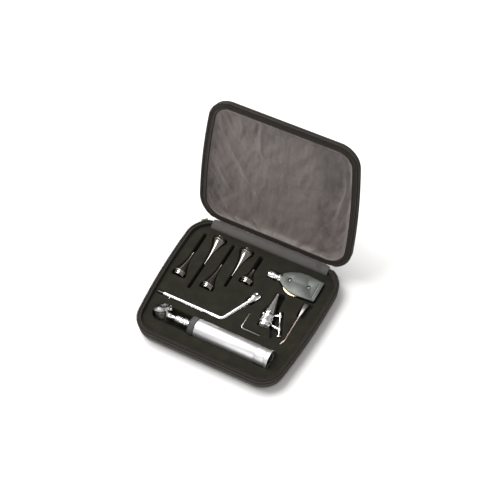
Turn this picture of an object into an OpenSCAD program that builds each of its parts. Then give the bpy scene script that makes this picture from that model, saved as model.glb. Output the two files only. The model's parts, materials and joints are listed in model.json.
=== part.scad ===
// Ear, nose and throat diagnostic set: battery-handle otoscope, heads and specula in a zipped hard case.
// Millimetres. +X runs right along the lid hinge, +Y goes back to the hinge, +Z is up.
// The origin is the centre of the underside of the case base.

/* [Case] */
// Half width of the case at its widest
case_half_w = 124; // [110:0.5:140]
// Radius of the bulged sides in plan
side_r = 996.75; // [600:0.25:2000]
// Radius of the corners by the hinge
back_r = 37.35; // [20:0.05:45]
// Distance of the hinge corners' centres from the middle
back_x = 86.29; // [70:0.01:89]
// Distance of the hinge corners' centres behind the origin
back_y = 68.78; // [60:0.01:75]
// Radius of the front corners
front_r = 33; // [20:0.5:45]
// Distance of the front corners' centres from the middle
front_x = 83.5; // [70:0.5:89]
// Height of the base shell up to its rim
base_h = 23.4; // [18:0.2:35]
// Depth of the lid shell from its rim to its outer face
lid_h = 13.8; // [10:0.2:30]
// Wall thickness of both moulded shells
shell_t = 2.6; // [1.5:0.1:4]
// Outer edge radius of both shells
edge_r = 10; // [4:0.5:12]
// Gap between the two shell rims when the lid is shut
rim_gap = 2.8; // [2:0.1:5]
// Angle the lid stands open from shut
lid_open = 104; // [0:0.5:120]
// Distance of the hinge line behind the back of the shells
hinge_back = 0.6; // [0.5:0.1:5]
// Half length of the fabric hinge strip
hinge_half = 84; // [60:1:90]

/* [Foam tray] */
// Height of the foam surface above the ground
foam_top = 19.5; // [15:0.1:22]
// Clearance between an instrument and its pocket
pocket_gap = 0.45; // [0.3:0.05:1]

/* [Battery handle] */
// Outer diameter of the battery tube
tube_d = 28; // [22:0.5:32]
// Wall thickness of the battery tube
tube_wall = 0.7; // [0.5:0.1:1.5]
// Left end of the battery tube
tube_left = -27; // [-40:0.5:0]
// Right end of the battery tube
tube_right = 70; // [50:0.5:80]
// Distance of the handle line in front of the case middle
handle_y = -69; // [-75:0.5:-60]
// Height of the handle line above the ground
handle_z = 19.4; // [18:0.1:22]
// Outer diameter of the knurled rheostat collar
collar_d = 29.2; // [28:0.1:32]
// Width of the knurled rheostat collar
collar_w = 10.6; // [8:0.1:15]
// Number of knurl grooves round the collar
knurl_count = 48; // [24:1:72]
// Diameter of the flared end of the tail cap
flare_d = 30; // [28:0.5:34]

/* [Operating head] */
// Diameter of the head cup at its open rim
cup_rim_d = 24; // [18:0.5:28]
// Diameter of the head cup at its narrow end
cup_foot_d = 17; // [12:0.5:20]
// Height of the head cup
cup_h = 14; // [8:0.5:18]
// Distance of the cup line left of the case middle
cup_x = -85; // [-90:0.5:-80]
// Diameter of the viewing lens
lens_d = 11; // [8:0.5:16]

/* [Specula] */
// Outer diameter of the speculum flange
flange_d = 22; // [14:0.2:23]
// Outer diameter of the bayonet ring behind the flange
bayonet_d = 18.4; // [10:0.2:20]
// Height of the specula lines above the ground
spec_z = 16.6; // [14:0.1:20]
// Wall thickness of a speculum
spec_wall = 0.7; // [0.5:0.1:1.2]

/* [Ophthalmoscope] */
// Radius of the lens wheel
wheel_r = 21; // [16:0.5:24]
// Number of small lenses round the wheel
wheel_lenses_n = 16; // [8:1:24]
// Height of the top face of the front plate
plate_top = 24; // [22:0.5:28]

/* [Bent arm] */
// Outer diameter of the bent light tube
arm_d = 5.8; // [4:0.1:7]
// Angle of the short leg of the light tube from the long one
arm_angle = 64.5; // [30:0.5:90]

/* [Output] */
// Which sub-part to build

/* [Hidden] */
$fn = 64;

// Case outline: straight front and back, four corner arcs and two bulged sides, all tangent.
side_off = side_r - case_half_w;
side_y = back_y - sqrt(pow(side_r - back_r, 2) - pow(back_x + side_off, 2));
front_y = side_y - sqrt(pow(side_r - front_r, 2) - pow(front_x + side_off, 2));
case_back = back_y + back_r;
case_front = front_y - front_r;
back_c = [back_x, back_y];
front_c = [front_x, front_y];
side_c = [-side_off, side_y];
function far(centre) = let(d = centre - side_c) centre + 60 * d / norm(d);
back_far = back_c + [0, 60];
// Direction in which the zip tape ends, short of the hinge
tape_end = back_c + 60 * [cos(70), sin(70)];
// Width of the ring a sweep covers inside the outline, and the slab that fills its middle
ring_in = 30;
slab_x = 2 * (case_half_w - ring_in) + 2;
slab_y0 = case_front + ring_in - 1;
slab_y1 = case_back - ring_in + 1;

mid_z = base_h + rim_gap / 2;
lid_rim_z = base_h + rim_gap;
hinge_y = case_back + hinge_back;
leaf_t = 0.8;
tape_t = 0.9;
tape_w = 7.5;
coil_r = 1.05;

// ---------- shared shapes ----------

// The wedge of ground that one part of the outline covers, outward from the corner centres.
module wedge(points) {
    translate([0, 0, -5]) linear_extrude(base_h + 15) polygon(points);
}

// One right-hand corner of a sweep round the outline, between two directions.
module corner_sweep(centre, r, from, to) {
    intersection() {
        translate([centre[0], centre[1], 0]) rotate_extrude($fn = 96) translate([r, 0]) children();
        wedge([centre, from, to]);
    }
}

// The right side of the sweep.
module side_sweep() {
    intersection() {
        translate([-side_off, side_y, 0]) rotate_extrude($fn = 720) translate([side_r, 0]) children();
        wedge([back_c, front_c, far(front_c), far(back_c)]);
    }
}

// A straight run of the sweep along the back, half_x to either side.
module straight_sweep(half_x, y) {
    translate([-half_x, y, 0]) rotate([90, 0, 90]) linear_extrude(2 * half_x) children();
}

// Sweeps a profile (x outward from the outline, y up) round the sides and front, as the zip runs.
module around_open(end = back_far) {
    for (m = [0, 1]) mirror([m, 0, 0]) {
        side_sweep() children();
        corner_sweep(back_c, back_r, far(back_c), end) children();
        corner_sweep(front_c, front_r, far(front_c), front_c - [0, 60]) children();
    }
    mirror([0, 1, 0]) straight_sweep(front_x, -case_front) children();
}

// The same sweep closed across the back.
module around() {
    around_open() children();
    straight_sweep(back_x, case_back) children();
}

// The slab that fills the middle of a sweep, between two heights.
module slab(z0, z1) {
    translate([-slab_x / 2, slab_y0, z0]) cube([slab_x, slab_y1 - slab_y0, z1 - z0]);
}

// Points of a quarter arc about a centre, from one angle to another.
function arc(cx, cy, r, a0, a1, n = 6) = [for (i = [0:n]) let(a = a0 + (a1 - a0) * i / n)
    [cx + r * cos(a), cy + r * sin(a)]];

module shell_wall(h) {
    around() polygon(concat([[-ring_in, 0]], arc(-edge_r, edge_r, edge_r, -90, 0),
        [[0, h], [-shell_t, h]], arc(-edge_r, edge_r, edge_r - shell_t, 0, -90),
        [[-ring_in, shell_t]]));
    slab(0, shell_t);
}

// Moves a part drawn on the shut lid to the open lid.
module lid_pose() {
    translate([0, hinge_y, mid_z]) rotate([-lid_open, 0, 0]) translate([0, -hinge_y, -mid_z])
        children();
}

// Turns base-side geometry over onto the lid side of the parting plane.
module lid_side() {
    lid_pose() translate([0, 0, 2 * mid_z]) mirror([0, 0, 1]) children();
}

// A cylinder along +X from x0 to x1.
module bar_x(x0, x1, r) {
    translate([x0, 0, 0]) rotate([0, 90, 0]) cylinder(h = x1 - x0, r = r);
}

module cone_x(x0, x1, r0, r1) {
    translate([x0, 0, 0]) rotate([0, 90, 0]) cylinder(h = x1 - x0, r1 = r0, r2 = r1);
}

module at_handle() {
    translate([0, handle_y, handle_z]) children();
}

// ---------- case base ----------

module base_shell() {
    color("#3b332d") shell_wall(base_h);
}

binding_in = 9;

// Rim binding with two raised piping lines; skirt is how far it reaches down inside the wall.
module binding_section(skirt) {
    top = base_h + leaf_t;
    function bead(x) = [[x + 0.5, top], [x + 0.25, top + 0.4], [x - 0.25, top + 0.4], [x - 0.5, top]];
    low = base_h - skirt;
    polygon(concat([[-0.8, base_h], [-0.8, top]], bead(-2.4), bead(-binding_in + 0.8),
        [[-binding_in, top], [-binding_in, low], [-shell_t, low], [-shell_t, base_h]]));
}

// Zip tape on the outside of the wall with half of the coil standing at its edge.
module tape_section() {
    top = mid_z - 0.15;
    out = tape_t + coil_r;
    polygon([[0, base_h - tape_w], [tape_t, base_h - tape_w], [tape_t, top - 2 * coil_r],
        [out - 0.45, top - 2 * coil_r], [out, top - 2 * coil_r + 0.45], [out, top - 0.45],
        [out - 0.45, top], [0.4, top], [0, top - 0.4]]);
}

module base_rim_binding() {
    color("#4a423b") around_open() binding_section(base_h - foam_top);
}

module base_zip_tape() {
    color("#2b2723") around_open(tape_end) tape_section();
}

module leaf() {
    translate([-hinge_half + 0.6, case_back - 10.5, base_h])
        cube([2 * hinge_half - 1.2, 10.3 + hinge_back, leaf_t]);
}

module hinge_strip_base() {
    color("#5d5853") leaf();
}

// ---------- foam tray ----------

foam_edge = shell_t + 0.4;
head_turn = 31;
head_lean = 18;
cup_r1 = cup_rim_d / 2;
cup_r0 = cup_foot_d / 2;
arm_y = -39.5;
arm_z = 19.3;
arm_left = -99.5;
arm_bend_x = -3;
arm_bend_r = 9;
arm_leg = 46;
arm_r = arm_d / 2;

// Each speculum: line x, flange end y, facing (1 tip to the back, -1 tip to the front),
// length, tip radius, pocket end y.
specula = [[-98, -3, 1, 47, 1.9, 81], [-73.5, 84, -1, 51, 1.5, -15], [-50, -5, 1, 48.5, 1.7, 81],
    [-27, 83, -1, 50, 1.4, 11], [-3, 28, 1, 28, 2.7, 81]];
ring_len = 5;
flange_len = 2.4;

oph_x = 66;
oph_y = 60.5;
plate_t = 3.4;
housing_h = 9.6;
housing_z = plate_top - plate_t - 2.4 - housing_h;
wheel_z = plate_top - plate_t - 2.0;
conn_z = 16.6;
// Front plate corners, from the connector round to the same end
plate_pts = [[41, 53.6], [49.5, 47.4], [61, 43], [74, 41.2], [101.5, 43.2], [101.5, 77.8],
    [74, 79.8], [61, 78], [49.5, 73.6], [41, 67.4]];

nasal_x = 56;
nasal_y = -24;
nasal_z = 18;
nasal_tilt = 7;
nasal_len = 59;
nasal_pivot_s = 20;
nasal_pivot = [nasal_x - nasal_pivot_s * sin(nasal_tilt), nasal_y + nasal_pivot_s * cos(nasal_tilt)];
lever_len = 16.6;
lever_a = 24.2;
screw_top = nasal_pivot + lever_len * [cos(lever_a), sin(lever_a)];
screw_r = 1.1;
knob_at = 34;
nut_at = 23;

mirror_x = 93.4;
mirror_z = 18.2;
wire_r = 1.1;
mirror_bend_y = -31;
blade_y0 = 14;
blade_y1 = 37.5;

key_x = 28;
key_y = -39.9;
key_r = 1.15;
key_z = 18.6;
key_bend_r = 2.4;
key_long = 31;
key_short = 26.5;

module prism(z0) {
    translate([0, 0, z0]) linear_extrude(foam_top + 1 - z0) children();
}

module foam_body() {
    around() polygon(concat([[-ring_in, shell_t]],
        arc(-edge_r - 0.4, edge_r, edge_r - shell_t, -90, 0),
        [[-foam_edge, foam_top], [-ring_in, foam_top]]));
    slab(shell_t, foam_top);
}

module trough(x0, x1, r) {
    at_handle() {
        bar_x(x0, x1, r + pocket_gap);
        translate([x0, -r - pocket_gap, 0]) cube([x1 - x0, 2 * (r + pocket_gap), 8]);
    }
}

module handle_pocket() {
    trough(tube_left - collar_w - 3, tube_left + 1, collar_d / 2);
    trough(tube_left, tube_right + 1, tube_d / 2);
    trough(tube_right, tube_right + 22.6, flare_d / 2);
}

module head_pocket() {
    prism(18) translate([cup_x - 8, handle_y + 11]) square([9.5, 5.2]);
    prism(7.9) {
        translate([cup_x, handle_y - cup_r1 - 1.6])
            square([tube_left - collar_w - 1 - cup_x, 2 * cup_r1 + 4]);
        translate([cup_x - 1.2, handle_y + 0.4]) circle(cup_r1 + 2.0);
    }
}

module arm_channel(r, z0) {
    bend = [arm_bend_x - arm_bend_r * tan(arm_angle / 2), arm_y + arm_bend_r];
    far = [arm_bend_x, arm_y] + (arm_leg + 2) * [cos(arm_angle), sin(arm_angle)];
    across = r * [sin(arm_angle), -cos(arm_angle)];
    turns = [for (i = [0:9]) [sin(arm_angle * i / 9), -cos(arm_angle * i / 9)]];
    prism(z0) polygon(concat([[arm_left - 11.5, arm_y - r]],
        [for (t = turns) bend + (arm_bend_r + r) * t], [far + across, far - across],
        [for (i = [9:-1:0]) bend + (arm_bend_r - r) * turns[i]], [[arm_left - 11.5, arm_y + r]]));
}

module arm_pocket() {
    gap = pocket_gap;
    arm_channel(arm_r + gap, arm_z - arm_r - gap);
    prism(arm_z - 6.3 - gap) translate([arm_bend_x, arm_y]) rotate(arm_angle)
        translate([arm_leg - 1, -6.3 - gap]) square([22.5, 12.6 + 2 * gap]);
    prism(arm_z - arm_r - gap) translate([arm_left + 9, arm_y - arm_r - 2.2]) square([3, 5]);
}

// Outer radius of a speculum at distance s from its open end.
function funnel_r(s, len, tip) = let(s0 = ring_len + flange_len + 1.2, u = (s - s0) / (len - s0))
    tip + (bayonet_d / 2 - tip) * pow(1 - min(max(u, 0), 1), 2.5);

module speculum_pocket(p) {
    steps = 8;
    s1 = ring_len + flange_len;
    reach = abs(p[5] - p[1]);
    w = flange_d / 2 + pocket_gap;
    side = [for (i = [0:steps]) let(s = s1 + 1.2 + (p[3] - s1 - 1.2) * i / steps)
        [funnel_r(s, p[3], p[4]) + pocket_gap + 0.5, s]];
    tip_w = p[4] + pocket_gap + 0.5;
    pts = concat([[w, -pocket_gap], [w, s1 + pocket_gap]], side, [[tip_w, reach], [-tip_w, reach]],
        [for (i = [steps:-1:0]) [-side[i][0], side[i][1]]], [[-w, s1 + pocket_gap], [-w, -pocket_gap]]);
    prism(spec_z - w) translate([p[0], p[1]]) scale([1, p[2]]) polygon(pts);
}

module oph_pocket() {
    gap = pocket_gap;
    prism(conn_z - 6.8 - gap) translate([18.6, oph_y - 7.8]) square([21, 15.6]);
    prism(housing_z - gap) {
        polygon([for (p = plate_pts) [p[0] + gap * (p[0] > 70 ? 1 : -1) + (p[0] > 100 ? 0.6 : 0),
            p[1] + 1.2 * (p[1] > oph_y ? 1 : -1)]]);
        translate([oph_x, oph_y]) circle(wheel_r + gap + 0.3);
        translate([18.6, oph_y - 7]) square([24, 14]);
    }
}

module nasal_plan() {
    translate([nasal_x, nasal_y]) rotate(nasal_tilt) children();
}

module nasal_pocket() {
    prism(nasal_z - 11.4) nasal_plan() {
        translate([-11, -0.6]) square([22, 27]);
        polygon([[-11, 26], [-5.6, 40], [-3, nasal_len + 1.2], [10.8, nasal_len + 1.2],
            [12, nasal_len - 4], [11, 26]]);
    }
    prism(nasal_z - 5) {
        translate(screw_top) rotate(lever_a) translate([-13, -knob_at - 4.2])
            square([18.5, knob_at + 10]);
    }
}

module mirror_pocket() {
    w = wire_r + pocket_gap;
    prism(mirror_z - w) {
        translate([mirror_x - w, mirror_bend_y]) square([2 * w, blade_y0 - mirror_bend_y + 2]);
        translate([mirror_x, mirror_bend_y]) circle(w);
        translate([mirror_x, mirror_bend_y]) rotate(-20) translate([-w, -11]) square([2 * w, 11]);
    }
    prism(mirror_z - 5) translate([mirror_x - 4.6, blade_y0 - 1.5]) square([15.4, 26]);
}

module key_pocket() {
    w = key_r + pocket_gap;
    prism(key_z - w) {
        translate([key_x - w, key_y - w]) square([2 * w, key_short + 2 * w]);
        translate([key_x - w, key_y - w]) square([key_long + 2 * w, 2 * w]);
    }
}

module foam_tray() {
    color("#1f1e19") difference() {
        foam_body();
        handle_pocket();
        head_pocket();
        arm_pocket();
        for (p = specula) speculum_pocket(p);
        oph_pocket();
        nasal_pocket();
        mirror_pocket();
        key_pocket();
    }
}

// ---------- lid ----------

module lid_shell() {
    color("#3b332d") lid_side() translate([0, 0, base_h - lid_h]) shell_wall(lid_h);
}

module lid_rim_binding() {
    color("#4a423b") lid_side() around_open() binding_section(1.4);
}

module lid_zip_tape() {
    color("#2b2723") lid_side() around_open(tape_end) tape_section();
}

module hinge_strip_lid() {
    color("#5d5853") lid_side() leaf();
}

lining_depth = 9;
lining_t = 1;

module lid_lining() {
    lining_z = base_h - lining_depth;
    color("#6c625e") lid_side() {
        around() polygon([[-ring_in, lining_z - lining_t], [-6.5, lining_z - lining_t],
            [-4, lining_z + 1.6], [-4, base_h - 1.6], [-4 - lining_t, base_h - 1.6],
            [-4 - lining_t, lining_z + 2], [-6.9, lining_z], [-ring_in, lining_z]]);
        slab(lining_z - lining_t, lining_z);
    }
}

// ---------- zip slider ----------

slider_a = 52;
slider_r = back_r + tape_t + coil_r;

module at_slider() {
    translate([-back_x, back_y, mid_z - coil_r - 0.15]) rotate([0, 0, 180 - slider_a])
        translate([slider_r, 0, 0]) children();
}

module zip_slider() {
    color("#8d8a86") at_slider() difference() {
        union() {
            translate([0.35, -5, -3.4]) cube([1.3, 10, 6.9]);
            translate([-0.9, -5, -3.4]) cube([1.5, 10, 1.6]);
            translate([1.4, 0, 2.4]) rotate([0, 90, 0]) cylinder(h = 1.9, r = 1.1);
        }
        translate([2.5, 0, 2.4]) rotate([90, 0, 0]) cylinder(h = 6, r = 0.55, center = true);
    }
}

module zip_pull_tab() {
    color("#a09c97") at_slider() difference() {
        union() {
            translate([2.5, 0, 2.4]) rotate([90, 0, 0]) cylinder(h = 4.4, r = 0.5, center = true);
            for (s = [-1, 1]) translate([2.1, s * 2.2 - 0.4, -2]) cube([0.8, 0.8, 4.9]);
            translate([2.1, -2.6, -14]) cube([0.8, 5.2, 12.2]);
        }
        translate([0, 0, -11]) rotate([0, 90, 0]) cylinder(h = 6, r = 1.5);
    }
}

// ---------- battery handle ----------

tube_r = tube_d / 2;
bore_r = tube_r - tube_wall;
cell_r = 12.9;
cell_len = 44.6;
collar_left = tube_left - 0.5 - collar_w;
spigot_r = 3.9;
neck_sleeve_r = 8;

module handle_tube() {
    color("#d8dadc") at_handle() difference() {
        bar_x(tube_left, tube_right, tube_r);
        bar_x(tube_left + 3, tube_right + 1, bore_r);
        bar_x(tube_left - 1, tube_left + 4, neck_sleeve_r);
        translate([tube_right - 1.2, 0, 0]) rotate([0, 90, 0]) difference() {
            cylinder(h = 0.5, r = tube_r + 1);
            cylinder(h = 0.5, r = tube_r - 0.3);
        }
    }
}

module handle_neck() {
    color("#e4e6e8") at_handle() difference() {
        union() {
            bar_x(-54.5, collar_left - 4, spigot_r);
            bar_x(-44.2, collar_left, 5);
            bar_x(collar_left - 1.2, collar_left - 0.3, 9.4);
            bar_x(collar_left - 0.5, tube_left + 3, neck_sleeve_r);
            bar_x(tube_left + 3, tube_left + 4.2, bore_r);
        }
        bar_x(-60, -20, 2.6);
    }
}

module contact_insulator() {
    color("#e9e4d6") at_handle() difference() {
        bar_x(-54.5, tube_left + 4.2, 2.6);
        bar_x(-60, -20, 1.1);
    }
}

module contact_pin() {
    color("#c9a257") at_handle() {
        bar_x(-55.6, tube_left + 5, 1.1);
        translate([-55.6, 0, 0]) sphere(r = 1.1, $fn = 48);
    }
}

module cell(x0) {
    at_handle() {
        bar_x(x0 + 1.4, x0 + cell_len, cell_r);
        bar_x(x0, x0 + 1.5, 3.4);
    }
}

module battery_front() {
    color("#3c4a5a") cell(tube_left + 5);
}

module battery_rear() {
    color("#3c4a5a") cell(tube_left + 5 + cell_len);
}

spring_x = tube_left + 5 + 2 * cell_len;

module battery_spring() {
    color("#b9bbbd") at_handle() for (i = [0:8])
        translate([spring_x + 0.7 + i * 1.1, 0, 0]) rotate([0, 90, 0])
            rotate_extrude() translate([6 + i * 0.5, 0]) circle(0.62, $fn = 24);
}

module rheostat_collar() {
    color("#2c2d2c") at_handle() difference() {
        translate([collar_left, 0, 0]) rotate([0, 90, 0]) rotate_extrude()
            polygon([[neck_sleeve_r + 0.06, 0], [collar_d / 2 - 1.4, 0], [collar_d / 2, 1.4],
                [collar_d / 2, collar_w - 0.5], [collar_d / 2 - 0.5, collar_w],
                [neck_sleeve_r + 0.06, collar_w]]);
        for (i = [0:knurl_count - 1]) rotate([i * 360 / knurl_count, 0, 0])
            translate([collar_left + 1.6, 0, collar_d / 2 + 0.25])
                rotate([0, 90, 0]) cylinder(h = collar_w - 2.6, r = 0.55, $fn = 16);
    }
}

module tail_cap() {
    cap_in = 2.4;
    color("#d8dadc") at_handle() translate([tube_right, 0, 0]) rotate([0, 90, 0]) rotate_extrude()
        polygon([[0, 9.5], [11.5, 9.5], [11.5, -cap_in], [bore_r - 0.08, -cap_in],
            [bore_r - 0.08, 0.5], [tube_r - 1, 0.5], [tube_r - 0.4, 1.2], [tube_r - 0.4, 14],
            [tube_r - 0.8, 14.4], [tube_r - 0.8, 15.2], [tube_r - 0.4, 15.6], [tube_r + 0.1, 18.4],
            [flare_d / 2, 20.4], [flare_d / 2, 21.2], [flare_d / 2 - 1.2, 21.2],
            [flare_d / 2 - 2.4, 18], [0, 18]]);
}

// ---------- operating head ----------

conn_left = -61;

// The cup's own frame: its middle at the origin, its axis along +Z, its wide rim at the top.
module at_cup() {
    at_handle() rotate([-head_turn, 0, 0]) translate([cup_x, 0, 0]) rotate([0, -head_lean, 0])
        children();
}

module head_connector() {
    color("#e4e6e8") at_handle() difference() {
        union() {
            bar_x(conn_left, -50, 5.2);
            bar_x(-50.5, -48, 4.5);
            bar_x(-48.4, -44.6, 6);
        }
        bar_x(-57.5, -40, spigot_r + 0.06);
        rotate([-head_turn, 0, 0]) translate([-52, -0.9, 0]) cube([8, 1.8, 9]);
    }
}

module head_neck() {
    color("#dfe1e3") at_handle() difference() {
        translate([conn_left, 0, 0]) rotate([0, -90, 0]) rotate_extrude()
            polygon([[0, 0], [5.2, 0], [4.4, 1.6], [3.5, 3.2], [3.1, 5.2], [3.2, 7.4],
                [3.7, 9.4], [4.4, 11.4], [4.4, 14.5], [0, 14.5]]);
        rotate([-head_turn, 0, 0]) translate([cup_x, 0, 0]) rotate([0, -head_lean, 0]) {
            translate([0, 0, -cup_h / 2 - 2]) cylinder(h = cup_h + 4,
                r1 = cup_r0 + 0.02 - 2 * (cup_r1 - cup_r0) / cup_h,
                r2 = cup_r1 + 0.02 + 2 * (cup_r1 - cup_r0) / cup_h);
            translate([0, 0, cup_h / 2 - 0.95]) cylinder(h = 3, r = cup_r1 + 0.34);
        }
    }
}

module head_cup() {
    color("#d5d3d2") difference() {
        at_cup() difference() {
            union() {
                translate([0, 0, -cup_h / 2]) cylinder(h = cup_h, r1 = cup_r0, r2 = cup_r1);
                translate([0, 0, cup_h / 2 - 0.9]) cylinder(h = 0.9, r1 = cup_r1, r2 = cup_r1 + 0.3);
                translate([0, 0, -cup_h / 2 - 1.6]) cylinder(h = 1.8, r = cup_r0 - 1.6);
            }
            translate([0, 0, -cup_h / 2 + 1]) cylinder(h = cup_h, r1 = cup_r0 - 0.8, r2 = cup_r1 - 0.4);
            translate([0, 0, -cup_h]) cylinder(h = 2 * cup_h, r = cup_r0 - 2.8);
        }
        at_handle() bar_x(cup_x + 4, conn_left - 4, 3.0);
    }
}

lamp_x = 5.6;

module lamp_base() {
    color("#b7b2a6") at_cup() {
        translate([lamp_x, 0, -cup_h / 2 + 1]) cylinder(h = 5, r = 1.7);
        translate([lamp_x, 0, -cup_h / 2 + 6]) cylinder(h = 0.9, r = 2.1);
    }
}

module lamp_bulb() {
    color("#f4efe0") at_cup() {
        translate([lamp_x, 0, -cup_h / 2 + 6.9]) cylinder(h = 1.6, r = 1.4);
        translate([lamp_x, 0, -cup_h / 2 + 8.5]) sphere(r = 1.4, $fn = 48);
    }
}

// The lens swings about a pin on the rim; the frame of the pin.
lens_r = lens_d / 2;
pin_r = cup_r1 + 1.3;
pin_a = 20;

module at_lens_pin() {
    at_cup() rotate([0, 0, pin_a]) translate([pin_r, 0, cup_h / 2]) children();
}

module lens_post() {
    translate([-2.4, -1.6, -3.6]) cube([2.6, 3.2, 3.2]);
    translate([0, 0, -3.6]) cylinder(h = 4, r = 1.6);
    translate([0, 0, -1]) cylinder(h = 4.5, r = 0.8);
}

module lens_arm() {
    color("#c3c3c2") difference() {
        at_lens_pin() lens_post();
        at_cup() {
            translate([0, 0, -cup_h / 2]) cylinder(h = cup_h, r1 = cup_r0 + 0.01, r2 = cup_r1 + 0.01);
            translate([0, 0, cup_h / 2 - 0.95]) cylinder(h = 0.97, r = cup_r1 + 0.32);
        }
    }
}

lens_reach = 12.5;
lens_steps = 6;

module lens_frame() {
    color("#8f8f8c") at_lens_pin() rotate([0, 0, -28]) difference() {
        union() {
            translate([0, 0, 0.5]) cylinder(h = 2.4, r = 1.9);
            translate([-lens_reach + lens_r, -1, 1.1]) cube([lens_reach - lens_r - 1, 2, 1.2]);
            translate([-lens_reach, 0, 0.5]) cylinder(h = 2.4, r = lens_r + 1);
        }
        cylinder(h = 6, r = 0.86, center = true);
        translate([-lens_reach, 0, -1]) cylinder(h = 6, r = lens_r);
    }
}

module viewing_lens() {
    last = 2 * lens_steps;
    color("#cfd8da") at_lens_pin() rotate([0, 0, -28]) translate([-lens_reach, 0, 1.7])
        rotate_extrude() polygon([for (i = [0:last]) let(s = min(i, last - i) / lens_steps,
            x = lens_r * (1 - pow(1 - s, 2)), z = 0.35 + 0.75 * (1 - pow(x / lens_r, 2)))
            [x, i <= lens_steps ? -z : z]]);
}

// ---------- bent arm ----------

module at_arm() {
    translate([arm_bend_x, arm_y, arm_z]) children();
}

module arm_tube() {
    back = arm_bend_r * tan(arm_angle / 2);
    color("#e0e2e4") at_arm() {
        bar_x(arm_left - arm_bend_x, -back, arm_r);
        translate([-back, arm_bend_r, 0]) rotate([0, 0, -90])
            rotate_extrude(angle = arm_angle) translate([arm_bend_r, 0]) circle(arm_r);
        rotate([0, 0, arm_angle]) bar_x(back, arm_leg, arm_r);
        bar_x(-back - 2, -back + 0.6, 1.2);
        rotate([0, 0, arm_angle]) bar_x(back - 0.6, back + 2, 1.2);
        translate([arm_left - arm_bend_x + 10.5, -arm_r + 0.4, 0]) rotate([90, 0, 0])
            cylinder(h = 1.7, r = 0.9);
    }
}

module arm_tip() {
    color("#2e2c2a") at_arm() translate([arm_left - arm_bend_x, 0, 0]) {
        bar_x(-9.6, 0, 1.9);
        translate([-9.6, 0, 0]) sphere(r = 1.9, $fn = 48);
    }
}

module arm_collar() {
    color("#d2d3d4") at_arm() rotate([0, 0, arm_angle]) {
        cone_x(arm_leg, arm_leg + 1.4, 3, 4);
        bar_x(arm_leg + 1.4, arm_leg + 6.2, 4);
        cone_x(arm_leg + 6.2, arm_leg + 8, 4, 4.8);
    }
}

module arm_socket() {
    color("#e4e6e8") at_arm() rotate([0, 0, arm_angle]) difference() {
        bar_x(arm_leg + 8, arm_leg + 18.6, 6.2);
        bar_x(arm_leg + 10, arm_leg + 20, 4.9);
        for (a = [20, 200]) rotate([a, 0, 0]) {
            translate([arm_leg + 13, -1.1, 0]) cube([8, 2.2, 8]);
            translate([arm_leg + 13, -1.1, 0]) cube([2.2, 5, 8]);
        }
    }
}

// ---------- specula ----------

module speculum(p, colour) {
    steps = 12;
    len = p[3];
    s1 = ring_len + flange_len;
    s2 = s1 + 1.2;
    wall = spec_wall;
    r1 = bayonet_d / 2;
    outer = [for (i = [0:steps]) let(s = s2 + (len - s2) * i / steps) [funnel_r(s, len, p[4]), s]];
    inner = [for (i = [steps:-1:0]) [outer[i][0] - wall, outer[i][1]]];
    color(colour) translate([p[0], p[1], spec_z]) scale([1, p[2], 1]) rotate([-90, 0, 0]) difference() {
        rotate_extrude() polygon(concat([[r1 - wall, 0], [r1, 0], [r1, ring_len],
            [flange_d / 2 - 0.5, ring_len], [flange_d / 2, ring_len + 0.5],
            [flange_d / 2, s1 - 0.5], [flange_d / 2 - 0.5, s1], [r1 + 0.6, s1]], outer, inner));
        for (a = [60, 240]) rotate([0, 0, a]) {
            translate([0, -1, -1]) cube([20, 2, 4]);
            translate([0, -1, 1.4]) cube([20, 5, 1.8]);
        }
    }
}

module speculum_1() {
    speculum(specula[0], "#4b4743");
}

module speculum_2() {
    speculum(specula[1], "#4b4743");
}

module speculum_3() {
    speculum(specula[2], "#4b4743");
}

module speculum_4() {
    speculum(specula[3], "#4b4743");
}

module speculum_5() {
    speculum(specula[4], "#4b4743");
}

// ---------- nasal speculum ----------

valve_s = 21.5;
valve_r0 = 8.4;
valve_r1 = 1.9;

module at_nasal() {
    translate([nasal_x, nasal_y, nasal_z]) rotate([0, 0, nasal_tilt]) children();
}

module nasal_base() {
    p = nasal_pivot_s;
    color("#c8c6c3") at_nasal() difference() {
        union() {
            rotate([-90, 0, 0]) rotate_extrude() polygon([[7.3, 0], [8.1, 0], [8.1, 5], [10.4, 5],
                [10.4, 7.4], [9.6, 8], [9.2, 12], [8.7, 18.6], [7.9, 18.6], [8.2, 12], [8, 5]]);
            for (s = [-1, 1]) translate([0, p, s * 8.4]) {
                cylinder(h = 1, r = 2.4, center = true);
                translate([-2.4, -4, -0.5]) cube([4.8, 4, 1]);
            }
        }
        for (a = [35, 215]) rotate([0, a, 0]) {
            translate([0, -1, -1.1]) cube([20, 4.4, 2.2]);
            translate([0, 1.4, -1.1]) cube([20, 2, 5]);
        }
    }
}

// One half of the split cone, on the side given by its sign.
module valve_half(side) {
    steps = 10;
    cone = [for (i = [0:steps]) let(u = i / steps)
        [valve_r1 + (valve_r0 - valve_r1) * pow(1 - u, 1.35), valve_s + (nasal_len - valve_s) * u]];
    inner = [for (i = [steps:-1:0]) [cone[i][0] - 0.8, cone[i][1]]];
    difference() {
        rotate([-90, 0, 0]) rotate_extrude() polygon(concat(cone, inner));
        translate([side > 0 ? -19.8 : -0.2, valve_s - 1, -20]) cube([20, nasal_len, 40]);
        for (s = [-1, 1]) translate([0, nasal_pivot_s, s * 8.6])
            cylinder(h = 2, r = 2.8, center = true);
    }
}

module nasal_fixed_valve() {
    color("#cfcdca") at_nasal() {
        valve_half(-1);
        translate([-8.5, 18.6, -2.5]) cube([0.7, valve_s - 18, 5]);
    }
}

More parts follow.
